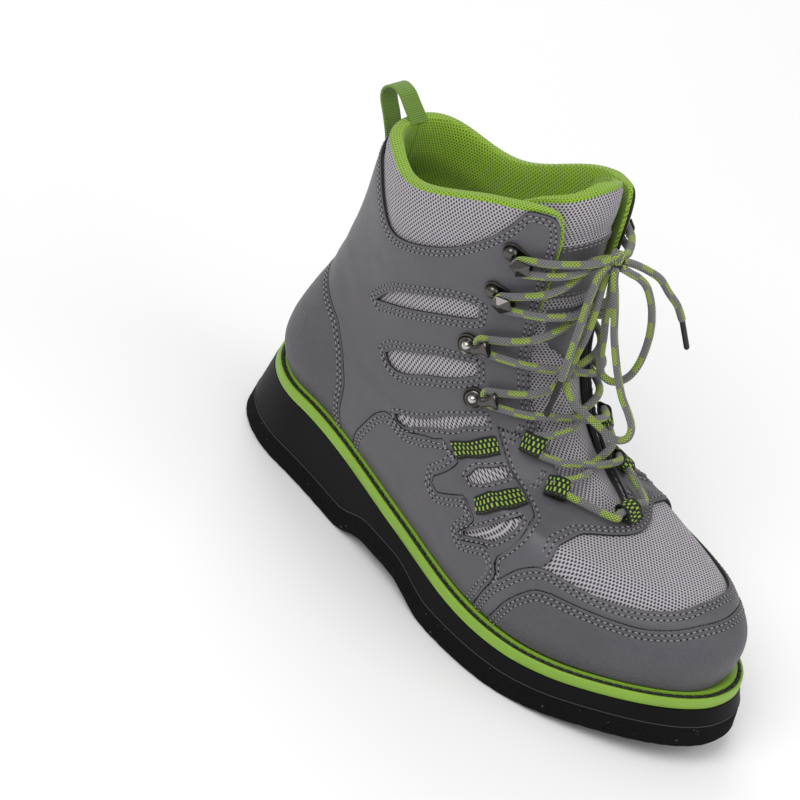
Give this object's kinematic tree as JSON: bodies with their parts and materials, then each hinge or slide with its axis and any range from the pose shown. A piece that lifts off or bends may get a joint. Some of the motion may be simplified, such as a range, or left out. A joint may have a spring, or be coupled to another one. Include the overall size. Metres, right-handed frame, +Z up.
{
  "type": "wading boot",
  "caption": "Laced wading boot for the right foot with a felt outsole, stitched welt, mesh and leather upper and a tied bow.",
  "frame": {"origin": "on the floor under the middle of the heel, 45 mm in front of the back of the last", "axes": "+X from heel to toe, +Y from the outer side of the foot to the inner side, +Z up"},
  "size_m": [0.3288, 0.119, 0.2438],
  "materials": {
    "felt": "pressed felt, matte",
    "midsole_rubber": "smooth, satin",
    "welt_lime": "smooth, with a lock stitch",
    "insole_cloth": "knitted cloth",
    "spacer_mesh": "spacer mesh with small holes",
    "toe_leather": "synthetic leather, coarse grain",
    "leather": "synthetic leather, fine grain",
    "webbing": "black webbing with lime dashes",
    "pull_webbing": "ribbed webbing",
    "lace_braid": "round braid with lime flecks",
    "hook_metal": "dark gunmetal",
    "aglet_plastic": "satin"
  },
  "bodies": {
    "root": {"outsole_felt": "felt", "midsole": "midsole_rubber", "welt": "welt_lime", "insole": "insole_cloth", "upper": "spacer_mesh", "tongue": "spacer_mesh", "toe_cap": "toe_leather", "toe_band": "leather", "heel_counter": "toe_leather", "facing": "leather", "quarter_outer": "leather", "quarter_inner": "leather", "side_panel_outer": "leather", "side_panel_inner": "leather", "side_web_outer_upper": "webbing", "side_web_outer_lower": "webbing", "side_web_inner_upper": "webbing", "side_web_inner_lower": "webbing", "lace_loop_centre": "webbing", "pull_loop": "pull_webbing", "lace_bar": "lace_braid", "lace_top_outer": "lace_braid", "lace_top_inner": "lace_braid", "lace_knot": "lace_braid", "bow_loop_inner": "lace_braid", "bow_loop_outer": "lace_braid", "lace_end_inner": "lace_braid", "lace_end_outer": "lace_braid", "aglet_inner": "aglet_plastic", "aglet_outer": "aglet_plastic", "hook_outer_1": "hook_metal", "hook_outer_2": "hook_metal", "hook_outer_3": "hook_metal", "hook_outer_4": "hook_metal", "lace_loop_outer_upper": "webbing", "lace_loop_outer_lower": "webbing", "hook_inner_1": "hook_metal", "hook_inner_2": "hook_metal", "hook_inner_3": "hook_metal", "hook_inner_4": "hook_metal", "lace_loop_inner_upper": "webbing", "lace_loop_inner_lower": "webbing", "lace_cross_1": "lace_braid", "lace_cross_2": "lace_braid", "lace_cross_3": "lace_braid", "lace_cross_4": "lace_braid", "lace_cross_5": "lace_braid"}
  },
  "joints": []
}
